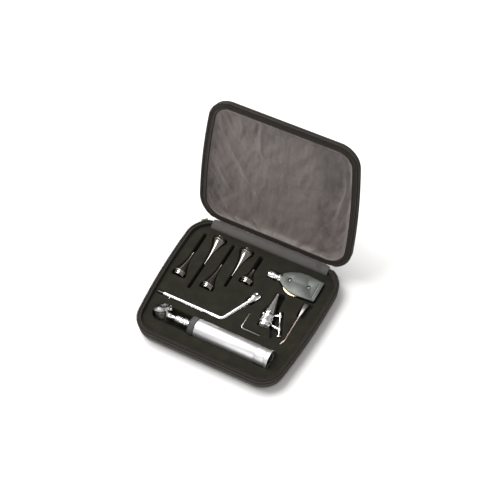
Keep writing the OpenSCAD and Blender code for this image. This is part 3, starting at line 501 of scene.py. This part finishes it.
EASED = {
    "zip_slider": 0.25, "zip_pull_tab": 0.2, "handle_tube": 0.25, "handle_neck": 0.2, "tail_cap": 0.18,
    "head_connector": 0.2, "head_neck": 0.12, "head_cup": 0.12, "lamp_base": 0.12, "lens_arm": 0.15,
    "lens_frame": 0.25, "arm_tube": 0.0, "arm_tip": 0.0, "arm_collar": 0.2, "arm_socket": 0.18,
    "speculum_1": 0.1, "speculum_2": 0.1, "speculum_3": 0.1, "speculum_4": 0.1, "speculum_5": 0.1,
    "nasal_base": 0.12, "nasal_fixed_valve": 0.1, "nasal_moving_valve": 0.1, "nasal_pivots": 0.12,
    "nasal_lug": 0.15, "nasal_screw": 0.12, "nasal_knob": 0.2, "oph_housing": 0.4,
    "oph_front_plate": 0.35, "oph_lens_wheel": 0.1, "oph_axle": 0.2, "oph_screws": 0.1,
    "oph_connector": 0.2, "mirror_wire": 0.0, "mirror_blade": 0.15, "hex_key": 0.1,
}
for node, ease in EASED.items():
    refined(node, ease, finish=MAT["mirror_dark"] if node == "mirror_blade" else None)
for node in ("contact_insulator", "contact_pin", "battery_front", "battery_rear", "battery_spring",
             "viewing_lens", "oph_wheel_lenses", "lamp_bulb", "oph_window", "base_shell", "lid_shell"):
    ob = NODES[node]
    ob.data.materials.clear()
    ob.data.materials.append(MAT[SLOT_OF[node]])


# ---------- knurled collar ----------

def knurled_collar():
    lo, hi = (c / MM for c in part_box("rheostat_collar"))
    y, z, r = (lo.y + hi.y) / 2, (lo.z + hi.z) / 2, (hi.z - lo.z) / 2
    bore, width, turns = 8.2, hi.x - lo.x, 54
    edge = [(0, bore), (0, r - 2.0), (0.12, r - 1.55), (0.45, r - 1.2), (1.0, r - 0.75)]
    knurled = [(1.5 + (width - 2.4) * i / 22, r) for i in range(23)]
    section = edge + knurled + [(width - 0.4, r - 0.45), (width - 0.1, r - 0.9), (width, r - 1.4), (width, bore)]
    sides = 432
    pts, faces = [], []
    m = len(section)
    for i in range(sides):
        a = 2 * math.pi * i / sides
        for x, rr in section:
            if rr == r:
                u = a * turns / (2 * math.pi)
                v = (x - 1.5) / 0.85 / 2
                ridge = max(abs(math.sin(math.pi * (u + v))), abs(math.sin(math.pi * (u - v))))
                fade = min(1, (x - 1.4) / 0.5, (width - 0.8 - x) / 0.5)
                rr = r - 0.55 * (1 - (1 - ridge) * 1.7) * max(fade, 0) - 0.1
            pts.append((lo.x + x, y + rr * math.cos(a), z + rr * math.sin(a)))
    for i in range(sides):
        j = (i + 1) % sides
        for k in range(m):
            q = (k + 1) % m
            faces.append((i * m + k, j * m + k, j * m + q, i * m + q))
    ob = piece("knurled_collar", pts, faces, MAT["knurled_black"], "rheostat", 80)
    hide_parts("rheostat_collar")


knurled_collar()


# ---------- rims, zips and stitches ----------

def rim_profile(low, top, width):
    """Section of the ribbon round a rim: two piping cords with a groove between them."""
    bead_in, bead_out, r = -width + 0.95, -1.4, 0.75
    return ([(-width, low), (-width, top - 0.1)]
            + arc(bead_in, top, r, 180, 20, 7)
            + [(bead_in + 1.0, top - 0.2), (bead_in + 1.15, top - 0.35), (bead_out - 1.1, top - 0.35),
               (bead_out - 1.0, top - 0.1)]
            + arc(bead_out, top, r, 160, 10, 7)
            + [(-0.55, top - 0.2), (-0.3, top - 0.5), (-0.05, top - 1.1), (-0.02, top - 1.6),
               (-0.6, top - 1.9), (-SHELL_T + 0.2, top - 1.9), (-SHELL_T - 0.3, low)])


def tape_profile():
    """Section of the zip tape: a hemmed lower edge, a flat band with two cords, and the lip under the coil."""
    low, top = BASE_H - TAPE_W, HINGE_Z - 0.55
    out = [(0.02, low), (0.35, low - 0.05), (0.75, low + 0.1), (0.95, low + 0.45), (0.95, low + 0.8),
           (0.7, low + 1.1)]
    for at in (low + 2.1, low + 3.5):
        out += [(0.7, at - 0.6)] + arc(0.62, at, 0.42, -80, 80, 5) + [(0.7, at + 0.6)]
    return out + [(0.72, top - 2.3), (0.6, top - 1.0), (0.5, top), (0.05, top)]


def tooth_places(lid):
    rows = outline(TOOTH_PITCH, False, ZIP_END)[0]
    rows = rows[3:-3]
    centre = on_outline(rows, TAPE_T + 0.35, HINGE_Z - 1.2)
    places = []
    for (_, _, nx, ny, _), c in zip(rows, centre):
        along, out = np.array([-ny, nx, 0]), np.array([nx, ny, 0])
        lean = 0.35
        tall = np.array([0, 0, 1]) * math.cos(lean) + along * math.sin(lean)
        side = np.cross(tall, out)
        turn = np.stack([tall, out, side], axis=1)
        if lid:
            c = to_lid([c])[0]
            turn = np.stack([to_lid([np.array([0, HINGE_Y, HINGE_Z]) + turn[:, k]])[0]
                             - [0, HINGE_Y, HINGE_Z] for k in range(3)], axis=1)
        places.append((c, turn))
    return places


def stitch_places(out, z, step, lid, closed=False, skip=2, end=90.0):
    rows = outline(step, closed, end)[0]
    rows = rows[skip:len(rows) - skip]
    places = []
    for (_, _, nx, ny, _), c in zip(rows, on_outline(rows, out, z)):
        along, outward = np.array([-ny, nx, 0]), np.array([nx, ny, 0])
        turn = np.stack([along, outward, [0, 0, 1]], axis=1)
        if lid:
            c = to_lid([c])[0]
            turn = np.stack([to_lid([np.array([0, HINGE_Y, HINGE_Z]) + turn[:, k]])[0]
                             - [0, HINGE_Y, HINGE_Z] for k in range(3)], axis=1)
        places.append((c, turn))
    return places


RIM_TOP = BASE_H + 0.55
STITCH_STEP = 3.0
tooth, tooth_faces = blob(1.0, 0.62, 0.42)
stitch, stitch_faces = blob(0.95, 0.2, 0.17, 4, 6)
for side, body, lid in (("base", "base", False), ("lid", "lid", True)):
    low = FOAM_TOP - 0.15 if not lid else BASE_H - 1.4
    width = BINDING_IN if lid else BASE_BINDING_IN
    rim = sweep(f"{side}_rim_ribbon", rim_profile(low, RIM_TOP, width), MAT["case_binding"], body,
                lid, lid, wobble=0.12)
    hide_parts(f"{side}_rim_binding")
    tape = sweep(f"{side}_zip_ribbon", tape_profile(), MAT["zip_tape"], body, False, lid,
                 end=ZIP_END)
    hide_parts(f"{side}_zip_tape")
    scattered(f"{side}_zip_coil", tooth, tooth_faces, tooth_places(lid), MAT["zip_coil"], body)
    scattered(f"{side}_rim_stitches", stitch, stitch_faces,
              stitch_places(-width + 2.3, RIM_TOP - 0.3, STITCH_STEP, lid, lid),
              MAT["thread"], body)
    scattered(f"{side}_tape_stitches", stitch, stitch_faces,
              [(c, t[:, [0, 2, 1]])
               for c, t in stitch_places(0.72, BASE_H - TAPE_W + 1.5, STITCH_STEP, lid, end=ZIP_END)],
              MAT["thread"], body)


# ---------- foam tray ----------

def evaluated_copy(ob):
    dg = bpy.context.evaluated_depsgraph_get()
    return bpy.data.meshes.new_from_object(ob.evaluated_get(dg), preserve_all_data_layers=False, depsgraph=dg)


def foam_tray():
    me = NODES["foam_tray"].data.copy()
    bm = bmesh.new()
    bm.from_mesh(me)
    bmesh.ops.remove_doubles(bm, verts=bm.verts, dist=2e-6)
    bm.to_mesh(me)
    bm.free()
    work = bpy.data.objects.new("foam_work", me)
    bpy.context.scene.collection.objects.link(work)
    remesh = work.modifiers.new("even", "REMESH")
    remesh.mode = "VOXEL"
    remesh.voxel_size = 0.0008
    soften = work.modifiers.new("soften", "SMOOTH")
    soften.factor = 0.5
    soften.iterations = 2
    thin = work.modifiers.new("thin", "DECIMATE")
    thin.decimate_type = "COLLAPSE"
    thin.ratio = 0.3
    bpy.context.view_layer.update()
    made = evaluated_copy(work)
    bpy.data.objects.remove(work)
    ob = finish_piece(made, "foam_liner", MAT["foam"], "base", 180)
    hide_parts("foam_tray")


foam_tray()


# ---------- satin lining of the lid ----------

# Creases in the slack satin, on the shut lid's plan in millimetres: points along the crease, width, height
CREASES = [
    ([(-97, -54), (-76, -25), (-53, 10), (-27, 41), (-5, 62)], 7, 2.6),
    ([(-88, -30), (-66, 8), (-45, 40)], 9, -2.0),
    ([(-36, -98), (-37, -75), (-34, -50), (-26, -34)], 4, 2.2),
    ([(-42, -96), (-43, -72)], 3, -1.6),
    ([(94, -86), (98, -60), (101, -25), (96, 10), (92, 52)], 4.5, 2.6),
    ([(88, -70), (93, -20), (86, 40)], 6, -1.6),
    ([(-112, 62), (-99, 86), (-90, 97)], 5, 2.0),
    ([(-90, 60), (-74, 81), (-60, 98)], 5, 2.4),
    ([(-58, 56), (-41, 77), (-17, 99)], 6, 2.4),
    ([(-110, -22), (-105, -8), (-90, 20), (-75, 45)], 8, 2.4),
    ([(60, -18), (62, 8), (60, 36)], 12, 1.5),
    ([(24, 28), (25, 50), (22, 76)], 10, 1.4),
    ([(-100, -94), (-98, -70), (-96, -52)], 3.5, 2.0),
    ([(-92, -96), (-86, -84), (-84, -72)], 3.5, -1.8),
    ([(-70, -96), (-66, -78), (-70, -62)], 6, 1.4),
    ([(30, -30), (31, -8)], 5, 1.2),
    ([(-30, -60), (10, -42), (50, -34)], 14, 1.0),
    ([(10, 10), (-10, 30), (-14, 60)], 12, -1.2),
    ([(70, 60), (84, 78), (94, 92)], 7, 1.3),
]


def crease_height(x, y):
    h = np.zeros_like(x)
    for line, width, height in CREASES:
        best = np.full_like(x, 1e9)
        taper = np.zeros_like(x)
        total = len(line) - 1
        for k, (a, b) in enumerate(zip(line, line[1:])):
            dx, dy = b[0] - a[0], b[1] - a[1]
            t = np.clip(((x - a[0]) * dx + (y - a[1]) * dy) / (dx * dx + dy * dy), 0, 1)
            d = np.hypot(x - a[0] - t * dx, y - a[1] - t * dy)
            near = d < best
            best = np.where(near, d, best)
            taper = np.where(near, np.sin(np.pi * np.clip((k + t) / total, 0.04, 0.96)) ** 0.6, taper)
        h += height * taper * np.exp(-(best / width) ** 1.3)
    return h


def lining():
    nu, nv = 132, 116
    edge_rows = outline(1.0, True)[0]
    rim = on_outline(edge_rows, -BINDING_IN - 0.25, 0)
    angle = np.arctan2(rim[:, 1], rim[:, 0])
    order = np.argsort(angle)
    radius = np.hypot(rim[:, 0], rim[:, 1])[order]
    angle = angle[order]
    lay = 6.2
    pts, held = [], []
    for j in range(nv + 1):
        for i in range(nu + 1):
            u, v = 2 * i / nu - 1, 2 * j / nv - 1
            t = max(abs(u), abs(v), 1e-9)
            a = math.atan2(v / t * shell_hi.y, u / t * shell_hi.x)
            r = t * float(np.interp(a, angle, radius, period=2 * math.pi))
            pts.append((r * math.cos(a), r * math.sin(a), t))
            held.append(t > 0.999)
    p = np.array(pts)
    x, y, t = p[:, 0], p[:, 1], p[:, 2]
    away = np.clip((1 - t) / 0.10, 0, 1)
    dip = lay * (1 - (1 - away) ** 2.2)
    soft = np.array([noise.fractal(Vector((a * 0.018, b * 0.014, 1.3)), 0.6, 2.0, 3) for a, b in zip(x, y)])
    fine = np.array([noise.noise(Vector((a * 0.07 + b * 0.03, b * 0.025, 7.1))) for a, b in zip(x, y)])
    lift = (1.9 * crease_height(x, y) + 2.6 * soft + 1.5 * fine) * np.clip((1 - t) / 0.05, 0.05, 1)
    z = BASE_H - 0.2 - dip + np.clip(lift, -3.4, 4.6)
    flat = np.stack([x, y, z], axis=1)
    world = to_lid(flat)
    faces = []
    for j in range(nv):
        for i in range(nu):
            a = j * (nu + 1) + i
            faces.append((a, a + 1, a + nu + 2, a + nu + 1))
    ob = piece("satin_lining", world, faces, MAT["lining_satin"], None, 180)
    drape(ob, held, to_lid(np.stack([x, y, np.full_like(z, BASE_H - 0.2) - dip], axis=1)))
    sub = ob.modifiers.new("even", "SUBSURF")
    sub.levels = sub.render_levels = 1
    bpy.context.view_layer.update()
    made = evaluated_copy(ob)
    ob.modifiers.clear()
    ob.data = made
    made.shade_smooth()
    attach(ob, "lid")
    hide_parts("lid_lining")
    return ob


def drape(ob, held, middle):
    """Lets the slack satin settle under its own weight, held along the rim, and keeps a share of its laid creases."""
    start = np.array([v.co for v in ob.data.vertices])
    group = ob.vertex_groups.new(name="held")
    group.add([i for i, h in enumerate(held) if h], 1.0, "ADD")
    mod = ob.modifiers.new("cloth", "CLOTH")
    cs = mod.settings
    cs.quality = 6
    cs.mass = 0.12
    cs.tension_stiffness = cs.compression_stiffness = 12
    cs.shear_stiffness = 4
    cs.bending_stiffness = 0.05
    cs.air_damping = 2.5
    cs.vertex_group_mass = "held"
    cs.shrink_min = -0.018
    cs.use_dynamic_mesh = False
    mod.collision_settings.use_collision = False
    scene = bpy.context.scene
    for f in range(1, 19):
        scene.frame_set(f)
    dg = bpy.context.evaluated_depsgraph_get()
    moved = np.array([v.co for v in ob.evaluated_get(dg).data.vertices])
    ob.modifiers.clear()
    scene.frame_set(1)
    normal = np.array([0, -math.sin(OPEN), -math.cos(OPEN)])
    plane = middle * MM
    d = (moved - plane) @ normal
    kept = 0.25 * d + 0.75 * ((start - plane) @ normal)
    limit, low, high = 0.0056, -0.0036, 0.0054
    side = np.clip(limit * np.tanh(kept / limit), low, high)
    moved = moved + np.outer(side - d, normal)
    step = moved - start
    far = np.linalg.norm(step, axis=1, keepdims=True)
    cap = 0.006
    moved = start + step * np.minimum(1, cap / np.maximum(far, 1e-9))
    ob.data.vertices.foreach_set("co", moved.astype(np.float32).ravel())
    ob.data.update()


lining()


# ---------- fabric hinge strip ----------

def hinge_strip():
    """One band of satin from the foam's back edge over the rim to the lid, with a folded notch near its right end."""
    half, notch = 97.0, 79.5
    low = 93.5
    lid_end = to_lid([[0, shell_hi.y - 0.3, BASE_H + 0.7]])[0]
    line = [(low, FOAM_TOP + 0.05), (low + 0.5, FOAM_TOP + 1.0), (low + 2.2, FOAM_TOP + 2.4), (99.0, 23.7),
            (102.0, 24.6), (104.5, 25.05), (106.0, 25.2), (106.9, 25.15), (lid_end[1], lid_end[2])]
    line = np.array(line)
    run = np.append(0, np.cumsum(np.hypot(*np.diff(line, axis=0).T)))
    across = 34
    s = np.linspace(0, run[-1], across)
    ys, zs = np.interp(s, run, line[:, 0]), np.interp(s, run, line[:, 1])
    kernel = np.ones(3) / 3
    for _ in range(3):
        ys[1:-1], zs[1:-1] = np.convolve(ys, kernel, "valid"), np.convolve(zs, kernel, "valid")
    xs = np.linspace(-half, half, 250)
    pts, faces = [], []
    for x in xs:
        edge = BACK_Y + math.sqrt(max(0.0, (BACK_R - 0.4) ** 2 - max(0.0, abs(x) - BACK_X) ** 2))
        limit = min(1.0, max(0.25, (edge - low) / (shell_hi.y - 0.4 - low)))
        for k in range(across):
            y = low + (ys[k] - low) * limit
            z = zs[k]
            fold = (0.10 * noise.noise(Vector((x * 0.05, y * 0.2, 2.0)))
                    + 0.05 * noise.noise(Vector((x * 0.3, y * 0.3, 5))))
            bend = notch - 0.5 * (y - 100.5)
            near = math.exp(-((y - 101) / 5.0) ** 2)
            tuck = near * (0.7 * math.exp(-((x - bend - 2.0) / 1.4) ** 2) - 1.0 * math.exp(-((x - bend) / 0.9) ** 2))
            pts.append((x, y, z + fold + tuck))
    for i in range(len(xs) - 1):
        for k in range(across - 1):
            a = i * across + k
            faces.append((a, a + across, a + across + 1, a + 1))
    ob = piece("hinge_satin", pts, faces, MAT["hinge_fabric"], None, 180)
    thick = ob.modifiers.new("thick", "SOLIDIFY")
    thick.thickness = 0.0005
    thick.offset = -1
    bpy.context.view_layer.update()
    made = evaluated_copy(ob)
    ob.modifiers.clear()
    ob.data = made
    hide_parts("hinge_strip_base", "hinge_strip_lid")
    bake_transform(ob)


hinge_strip()


# ---------- stage, light and camera ----------

def stage():
    me = bpy.data.meshes.new("floor")
    s = 6.0
    me.from_pydata([(-s, -s, 0), (s, -s, 0), (s, s, 0), (-s, s, 0)], [], [(0, 1, 2, 3)])
    floor = bpy.data.objects.new("floor", me)
    bpy.context.scene.collection.objects.link(floor)
    p = Paint("floor_paper", Roughness=0.9)
    p.shader.inputs["Specular IOR Level"].default_value = 0.1
    p.colours(p.noise(p.here(), 3, 2), [(0.3, (0.90, 0.895, 0.89)), (0.7, (0.92, 0.915, 0.91))])
    me.materials.append(p.mat)


def light(name, place, target, size, power, colour=(1, 1, 1)):
    data = bpy.data.lights.new(name, "AREA")
    data.shape = "RECTANGLE"
    data.size, data.size_y = size
    data.energy = power
    data.color = colour
    ob = bpy.data.objects.new(name, data)
    ob.location = place
    ob.rotation_euler = (Vector(target) - Vector(place)).to_track_quat("-Z", "Y").to_euler()
    bpy.context.scene.collection.objects.link(ob)


stage()
world = bpy.data.worlds.new("studio")
bpy.context.scene.world = world
world.use_nodes = True
world.node_tree.nodes["Background"].inputs[0].default_value = (1.0, 0.985, 0.97, 1)
world.node_tree.nodes["Background"].inputs[1].default_value = 0.5
light("key", (-1.25, 0.35, 2.4), (0, 0, 0), (2.0, 2.0), 105)
light("front_fill", (0.3, -2.4, 1.2), (0, 0, 0.05), (2.2, 1.0), 10)


def camera():
    """A long lens above and to the right of the front, as the set is seen, with a slight roll."""
    azimuth, elevation, roll = math.radians(32.62), math.radians(54.65), math.radians(-5.0)
    place = Vector((0.62076, -0.92455, 1.70786))
    back = Vector((math.sin(azimuth) * math.cos(elevation), -math.cos(azimuth) * math.cos(elevation),
                   math.sin(elevation)))
    level = Vector((math.cos(azimuth), math.sin(azimuth), 0))
    up = back.cross(level)
    right = level * math.cos(roll) + up * math.sin(roll)
    up = back.cross(right)
    data = bpy.data.cameras.new("camera")
    data.sensor_width = 36
    data.lens = 100.8
    data.clip_start, data.clip_end = 0.05, 50
    ob = bpy.data.objects.new("camera", data)
    turn = Matrix((right, up, back)).transposed()
    ob.matrix_world = Matrix.Translation(place) @ turn.to_4x4()
    bpy.context.scene.collection.objects.link(ob)
    bpy.context.scene.camera = ob


camera()
scene = bpy.context.scene
scene.view_settings.view_transform = "Standard"
scene.view_settings.look = "None"
scene.view_settings.exposure = 0.0
